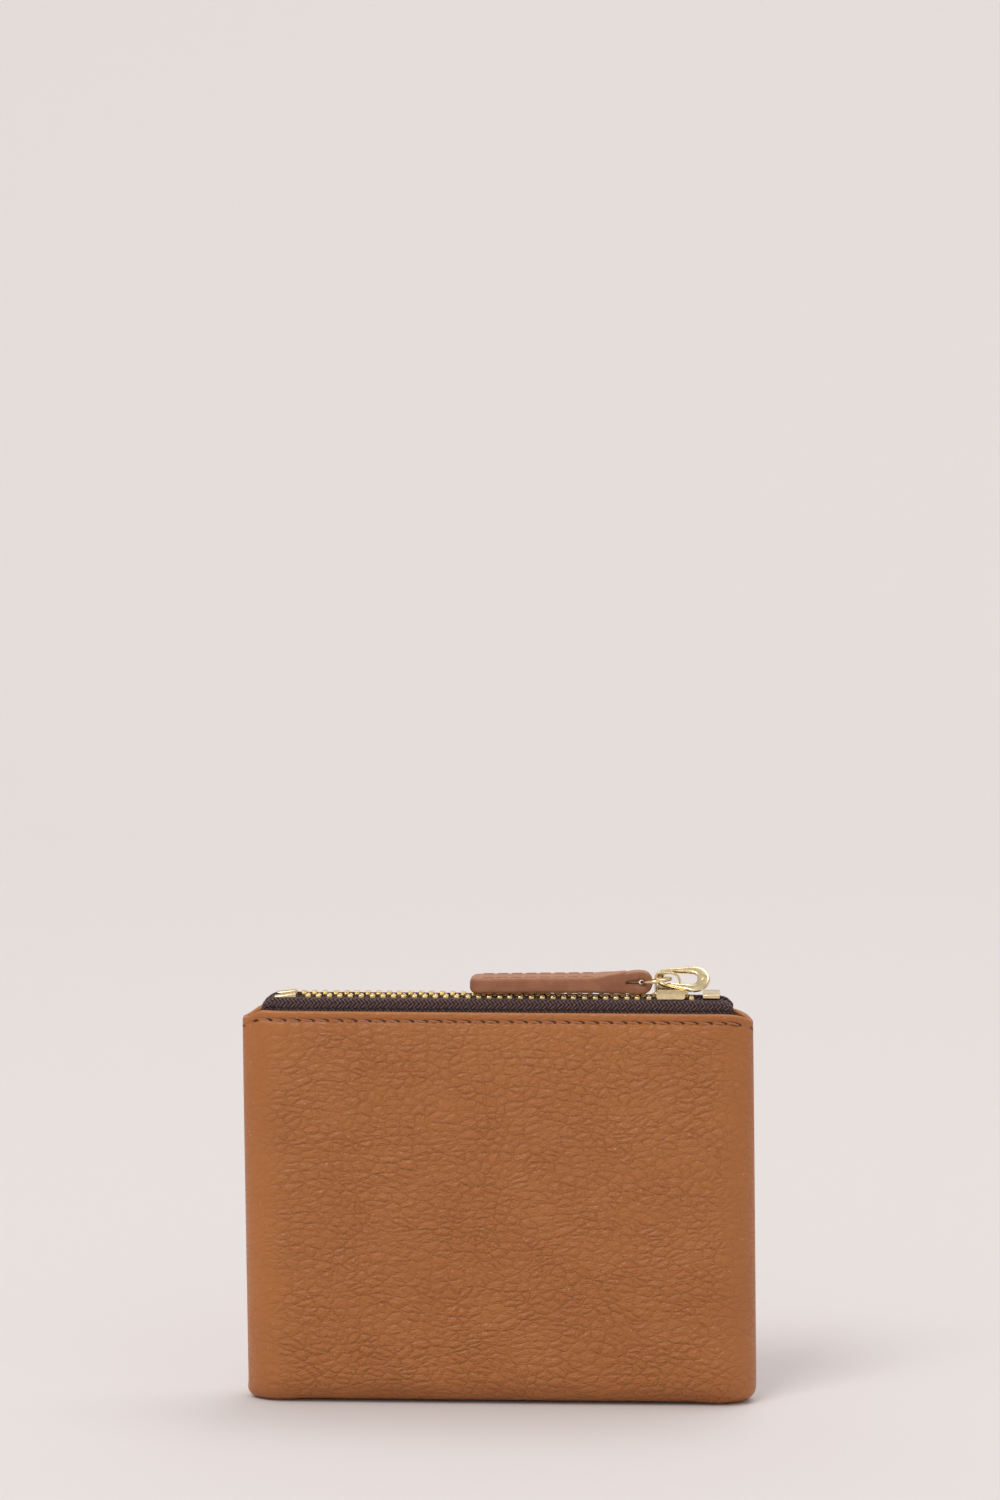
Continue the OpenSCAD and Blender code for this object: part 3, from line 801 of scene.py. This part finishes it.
def make_slider():
    low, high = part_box("slider_body")
    end_x = low.x + 7.4 * MM
    mid_x = (low.x + end_x) / 2
    width = high.y
    plate_top = TAPE_MID + 1.8 * MM
    plate_low = TAPE_MID + 1.0 * MM
    lip_top = TAPE_MID + 2.6 * MM
    flange = 3.2 * MM
    bm = bmesh.new()
    for z0, z1 in ((plate_low, plate_top), (low.z, low.z + 0.8 * MM)):
        rounded_box(bm, (mid_x - flange, -width + 0.1 * MM, z0), (mid_x + flange, width - 0.1 * MM, z1),
                    0.3 * MM)
        rounded_box(bm, (low.x + 0.05 * MM, -width + 1.5 * MM, z0),
                    (end_x, width - 1.5 * MM, z1), 0.38 * MM)
    for side in (-1, 1):
        y0, y1 = sorted((side * width, side * (width - 0.65 * MM)))
        x0, x1 = mid_x - flange, mid_x + flange
        round_plate(bm, x0, x1, TAPE_MID + 0.38 * MM, lip_top, y0, y1, 0.75 * MM)
        round_plate(bm, x0, x1, low.z, TAPE_MID - 0.45 * MM, y0, y1, 0.3 * MM)
    rounded_box(bm, (low.x + 0.1 * MM, -0.32 * MM, low.z + 0.2 * MM),
                (low.x + 3 * MM, 0.32 * MM, plate_low + 0.3 * MM), 0.12 * MM)
    bridge(bm, low.x, high.z, plate_top - 0.2 * MM)
    obj = from_bmesh("slider", bm, GOLD_LOOK)
    outward(obj)
    sharpen(obj)
    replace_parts(obj, "slider_body")
    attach(obj, "slider")


def round_plate(bm, x0, x1, z0, z1, y0, y1, r):
    """Adds a plate that faces along Y, with round corners and softened edges."""
    outline = []
    left, right, bottom, top = x0 + r, x1 - r, z0 + r, z1 - r
    for cx, cz, start in ((right, top, 0), (left, top, 90), (left, bottom, 180), (right, bottom, 270)):
        for k in range(7):
            a = math.radians(start + 15 * k)
            outline.append((cx + r * math.cos(a), cz + r * math.sin(a)))
    mid_x, mid_z = (x0 + x1) / 2, (z0 + z1) / 2
    soft = 0.22 * MM
    rings = []
    for inset, y in ((soft, y0), (0.3 * soft, y0 + 0.3 * soft), (0, y0 + soft), (0, y1 - soft),
                     (0.3 * soft, y1 - 0.3 * soft), (soft, y1)):
        kx, kz = 1 - inset / (x1 - mid_x), 1 - inset / (z1 - mid_z)
        rings.append([bm.verts.new((mid_x + (x - mid_x) * kx, y, mid_z + (z - mid_z) * kz))
                      for x, z in outline])
    count = len(outline)
    for one, two in zip(rings, rings[1:]):
        for k in range(count):
            bm.faces.new((one[k], one[(k + 1) % count], two[(k + 1) % count], two[k]))
    bm.faces.new(rings[0])
    bm.faces.new(list(reversed(rings[-1])))


def bridge(bm, start, top, foot_z):
    """The arch over the puller's bar: a flat strip that rises, runs level and comes down."""
    half_w, half_t, near_r, far_r = 0.45 * MM, 0.25 * MM, 0.9 * MM, 2.2 * MM
    x0, x1, z1 = start + 0.35 * MM, start + 5.65 * MM, top - half_t
    path = [Vector((x0, 0, foot_z))]
    path += [Vector((x0 + near_r * (1 - math.cos(a)), 0, z1 - near_r * (1 - math.sin(a))))
             for a in (math.pi / 2 * k / 6 for k in range(7))]
    path += [Vector((x1 - far_r * (1 - math.sin(a)), 0, z1 - far_r * (1 - math.cos(a))))
             for a in (math.pi / 2 * k / 8 for k in range(9))]
    path.append(Vector((x1, 0, foot_z)))
    rings = []
    for k, point in enumerate(path):
        along = (path[min(k + 1, len(path) - 1)] - path[max(k - 1, 0)]).normalized()
        out = Vector((0, 1, 0)).cross(along)
        ring = []
        for s in range(16):
            a = 2 * math.pi * s / 16
            across = half_w * soft_sign(math.cos(a), 0.55)
            thick = half_t * soft_sign(math.sin(a), 0.55)
            ring.append(bm.verts.new(point + Vector((0, across, 0)) + out * thick))
        rings.append(ring)
    for one, two in zip(rings, rings[1:]):
        for s in range(16):
            bm.faces.new((one[s], one[(s + 1) % 16], two[(s + 1) % 16], two[s]))
    bm.faces.new(list(reversed(rings[0])))
    bm.faces.new(rings[-1])


def soft_sign(value, power):
    """The value raised to a power below one with its sign kept: it squares off a circle."""
    return math.copysign(abs(value) ** power, value)


def egg(a, x_small, r_small, x_big, r_big):
    """A point of the puller's outline: two round ends of different size joined by straight sides."""
    lean = math.asin((r_big - r_small) / (x_big - x_small))
    if math.cos(a) > 0:
        t = math.asin(math.sin(a)) / (math.pi / 2) * (math.pi / 2 + lean)
        return Vector((x_big + r_big * math.cos(t), r_big * math.sin(t), 0))
    t = math.pi - math.asin(math.sin(a)) / (math.pi / 2) * (math.pi / 2 - lean)
    return Vector((x_small + r_small * math.cos(t), r_small * math.sin(t), 0))


def window(a, x0, x1, half, r):
    """A point of the puller's window: a rectangle with round corners."""
    c, s = math.cos(a), math.sin(a)
    sx, sy = math.copysign(1, c), math.copysign(1, s)
    cx, cy = (x1 - x0) / 2 - r, half - r
    t = math.atan2(abs(s), abs(c))
    return Vector(((x0 + x1) / 2 + sx * (cx + r * math.cos(t)), sy * (cy + r * math.sin(t)), 0))


def band_mesh(bm, outer, inner, half_t, ring=14):
    """A flat band between two closed outlines with the same number of points, softly rounded."""
    rows = []
    for p, q in zip(outer, inner):
        row = []
        for s in range(ring):
            b = 2 * math.pi * s / ring
            flat = 0.5 + 0.5 * soft_sign(math.cos(b), 0.5)
            row.append(bm.verts.new(q.lerp(p, flat) + Vector((0, 0, half_t * soft_sign(math.sin(b), 0.5)))))
        rows.append(row)
    for one, two in zip(rows, rows[1:] + rows[:1]):
        for s in range(ring):
            bm.faces.new((one[s], one[(s + 1) % ring], two[(s + 1) % ring], two[s]))


def make_puller():
    """A flat oval ring with rounded faces, turned on a thin bar under the slider's bridge."""
    pivot, axis = joint_place("puller_swing"), -joint_axis("puller_swing")
    half_t, shift = 0.45 * MM, 0.25 * MM
    outer, inner = [], []
    steps = 112
    for k in range(steps):
        a = 2 * math.pi * (k + 0.5) / steps
        outer.append(egg(a, 1.3 * MM, 2.3 * MM, 7.4 * MM, 3.5 * MM))
        inner.append(window(a, 0.8 * MM, 8.1 * MM, 1.68 * MM, 1.3 * MM))
    bm = bmesh.new()
    for p in outer:
        p.x = max(p.x, -0.62 * MM)
    band_mesh(bm, outer, inner, half_t)
    boss = Vector((9.3 * MM, -0.2 * MM, half_t * 0.85))
    bmesh.ops.create_uvsphere(bm, u_segments=16, v_segments=8, radius=0.45 * MM,
                              matrix=Matrix.Translation(boss) @ Matrix.Diagonal((1, 1, 0.55, 1)))
    along = Vector((1, 0, 0)) - axis * axis.x
    along.normalize()
    normal = along.cross(axis)
    turn = Matrix((along, axis, normal)).transposed().to_4x4()
    bmesh.ops.transform(bm, matrix=Matrix.Translation(pivot) @ turn @ Matrix.Translation((0, shift, 0)),
                        verts=bm.verts)
    obj = from_bmesh("puller", bm, GOLD_LOOK)
    outward(obj)
    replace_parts(obj, "oval_puller")
    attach(obj, "puller")


def make_ring():
    """A round wire ring from under the bridge to the pull tab's loop."""
    right, left = joint_place("ring_swing"), joint_place("tab_swing")
    centre = (right + left) / 2
    along = (right - left).normalized()
    radius = (right - left).length / 2
    across = Matrix.Rotation(math.radians(-5), 3, along) @ Vector((0, 1, 0))
    path = [centre + (along * math.cos(a) + across * math.sin(a)) * radius
            for a in (2 * math.pi * k / 72 for k in range(72))]
    bm = bmesh.new()
    tube(bm, path, 0.38 * MM, 14, closed=True)
    obj = from_bmesh("ring", bm, GOLD_LOOK)
    outward(obj)
    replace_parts(obj, "jump_ring")
    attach(obj, "ring")


def tab_half_height(x):
    """Half the strap's height at x: even along its length, swelling over the fold round the ring."""
    swell = smooth((x + 12 * MM) / (11 * MM))
    return lerp(1.72 * MM, 2.62 * MM, swell)


def tab_rows(length):
    """Sections across the strap, from its free end to the fold: each a closed ring of points."""
    rows = []
    full_w, neck_w = 3.5 * MM, FOLD_HALF_W
    corner = 1.9 * MM
    xs = [-length + corner * (1 - math.cos(math.pi / 2 * k / 8)) for k in range(1, 9)]
    xs += [lerp(-length + corner, -3.5 * MM, k / 60) for k in range(1, 61)]
    for x in xs:
        end = min((x + length) / corner, 1)
        round_end = math.sqrt(max(1 - (1 - end) ** 2, 0))
        half_h = tab_half_height(x) - corner * 0.62 * (1 - round_end)
        half_w = lerp(full_w, neck_w, smooth((x + 9.5 * MM) / (6 * MM))) - corner * (1 - round_end)
        row = []
        for s in range(40):
            a = 2 * math.pi * s / 40
            y = half_w * soft_sign(math.cos(a), 0.30)
            z = half_h * soft_sign(math.sin(a), 0.42)
            dent = noise.noise(Vector((x * 120, y * 200, z * 100))) * 0.03 * MM
            if abs(z) > half_h * 0.8:
                dent -= 0.10 * MM * math.exp(-((abs(y) - 2.4 * MM) / (0.35 * MM)) ** 2)
            row.append(Vector((x, y, z + math.copysign(dent, z))))
        rows.append(row)
    return rows


def make_tab():
    """A strap folded round the ring: a solid run, then two lips that meet round the ring's wire."""
    place = joint_place("tab_swing")
    length = place.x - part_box("pull_tab_leather")[0].x
    rows = tab_rows(length)
    obj = grid_object("pull_tab", rows, TAB_LOOK, wrap_cols=True)
    bm = bmesh.new()
    bm.from_mesh(obj.data)
    rims = [e for e in bm.edges if e.is_boundary]
    bmesh.ops.holes_fill(bm, edges=[e for e in rims if e.verts[0].co.x < -0.02], sides=0)
    fold_loop(bm)
    bmesh.ops.recalc_face_normals(bm, faces=bm.faces)
    bm.to_mesh(obj.data)
    bm.free()
    for face in obj.data.polygons:
        face.use_smooth = True
    sink = Matrix.Rotation(math.radians(-1), 4, "Y")
    obj.data.transform(Matrix.Translation(place) @ sink)
    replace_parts(obj, "pull_tab_leather")
    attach(obj, "pull_tab")


def fold_loop(bm):
    """The strap's fold: a thick lens-shaped ring of leather seen from the side, swept across Y."""
    half_w, steps = FOLD_HALF_W, 64
    rows = []
    for k in range(steps):
        a = 2 * math.pi * k / steps
        c, s = math.cos(a), math.sin(a)
        if c > 0:
            outer = Vector((2.4 * MM * c, 0, 2.55 * MM * s))
            inner = Vector((0.95 * MM * c, 0, 0.95 * MM * s))
        else:
            x_out = 5.2 * MM * c
            x_in = 3.6 * MM * c
            outer = Vector((x_out, 0, tab_half_height(x_out) * soft_sign(s, 0.35)))
            inner = Vector((x_in, 0, 0.95 * MM * s * abs(s) ** 0.4))
        row = []
        for t in range(20):
            b = 2 * math.pi * t / 20
            flat = 0.5 + 0.5 * soft_sign(math.cos(b), 0.45)
            y = half_w * soft_sign(math.sin(b), 0.35)
            middle = 1 - min(abs(y / half_w), 1) ** 2
            if c > 0:
                hollow = inner * (1 - 0.45 * middle)
            else:
                shut = lerp(0.5, 0.98, smooth((-inner.x - 0.3 * MM) / (0.3 * MM)))
                hollow = Vector((inner.x, 0, inner.z * (1 - middle * shut)))
            row.append(bm.verts.new(hollow.lerp(outer, flat) + Vector((0, y, 0))))
        rows.append(row)
    for one, two in zip(rows, rows[1:] + rows[:1]):
        for t in range(20):
            bm.faces.new((one[t], one[(t + 1) % 20], two[(t + 1) % 20], two[t]))
    return rows


def dress_cad_nodes():
    """Pieces whose CAD shape is already right get their material only."""
    looks = {"pull_tab_core": BOARD_LOOK, "pull_tab_stitching": THREAD_LOOK}
    for name, look in looks.items():
        node = frame["nodes"][name]
        node.data.materials.clear()
        node.data.materials.append(look)


# ------------------------------------------------------------------ studio
def make_stage():
    n = Nodes("paper_sweep")
    place = n.object_mm()
    tooth = n.add("TexNoise", {"Vector": place, "Scale": 0.8, "Detail": 3.0})
    tone = n.mix(tooth, rgb(0.735, 0.690, 0.678), rgb(0.748, 0.702, 0.690))
    n.set(n.shader, {"Base Color": tone, "Roughness": 0.95, "Specular IOR Level": 0.1})
    rows = []
    bend, back, half = 0.8, 1.6, 4.0
    outline = [(-4.0, 0.0), (back - bend, 0.0)]
    outline += [(back - bend + bend * math.sin(a), bend - bend * math.cos(a))
                for a in (math.pi / 2 * k / 12 for k in range(1, 13))]
    outline.append((back, 3.5))
    for x in (-half, half):
        rows.append([Vector((x, y, z)) for y, z in outline])
    sweep = grid_object("paper_sweep", rows, n.material)


def area_light(name, place, target, size, power, tone=(1, 1, 1)):
    data = bpy.data.lights.new(name, "AREA")
    data.shape = "RECTANGLE"
    data.size, data.size_y = size
    data.energy = power
    data.color = tone
    lamp = bpy.data.objects.new(name, data)
    bpy.context.scene.collection.objects.link(lamp)
    lamp.location = place
    lamp.rotation_mode = "QUATERNION"
    lamp.rotation_quaternion = (Vector(target) - Vector(place)).to_track_quat("-Z", "Y")


def make_studio():
    make_stage()
    world = bpy.data.worlds.new("studio")
    world.use_nodes = True
    world.node_tree.nodes["Background"].inputs[0].default_value = rgb(1.0, 1.0, 1.0)
    world.node_tree.nodes["Background"].inputs[1].default_value = 0.62
    bpy.context.scene.world = world
    target = (0, 0, 0.05)
    area_light("key", (-0.9, -1.6, 2.6), target, (1.2, 1.2), 34.0, (1.0, 0.99, 0.97))
    area_light("back", (0.6, 0.7, 2.4), target, (1.6, 0.8), 16.0)
    scene = bpy.context.scene
    scene.view_settings.view_transform = "Standard"
    scene.view_settings.look = "None"


def make_camera():
    """A long lens a little above the pouch, which stands low in the picture."""
    data = bpy.data.cameras.new("camera")
    data.lens = 180
    data.sensor_width = 36
    data.clip_end = 20
    camera = bpy.data.objects.new("camera", data)
    bpy.context.scene.collection.objects.link(camera)
    distance, rise, yaw, pitch = 1.647, math.radians(11.4), math.radians(2.5), math.radians(8.09)
    middle = Vector((0, 0, 0.048))
    back = Vector((math.sin(yaw) * math.cos(rise), -math.cos(yaw) * math.cos(rise), math.sin(rise)))
    camera.location = middle + back * distance
    look = Vector((-math.sin(yaw) * math.cos(pitch), math.cos(yaw) * math.cos(pitch), -math.sin(pitch)))
    camera.rotation_mode = "QUATERNION"
    camera.rotation_quaternion = look.to_track_quat("-Z", "Y")
    bpy.context.scene.camera = camera


make_camera()
make_studio()
make_walls()
make_stiffeners()
make_linings()
make_top_stitching()
make_tapes()
make_teeth()
make_stops()
make_slider()
make_puller()
make_ring()
make_tab()
dress_cad_nodes()
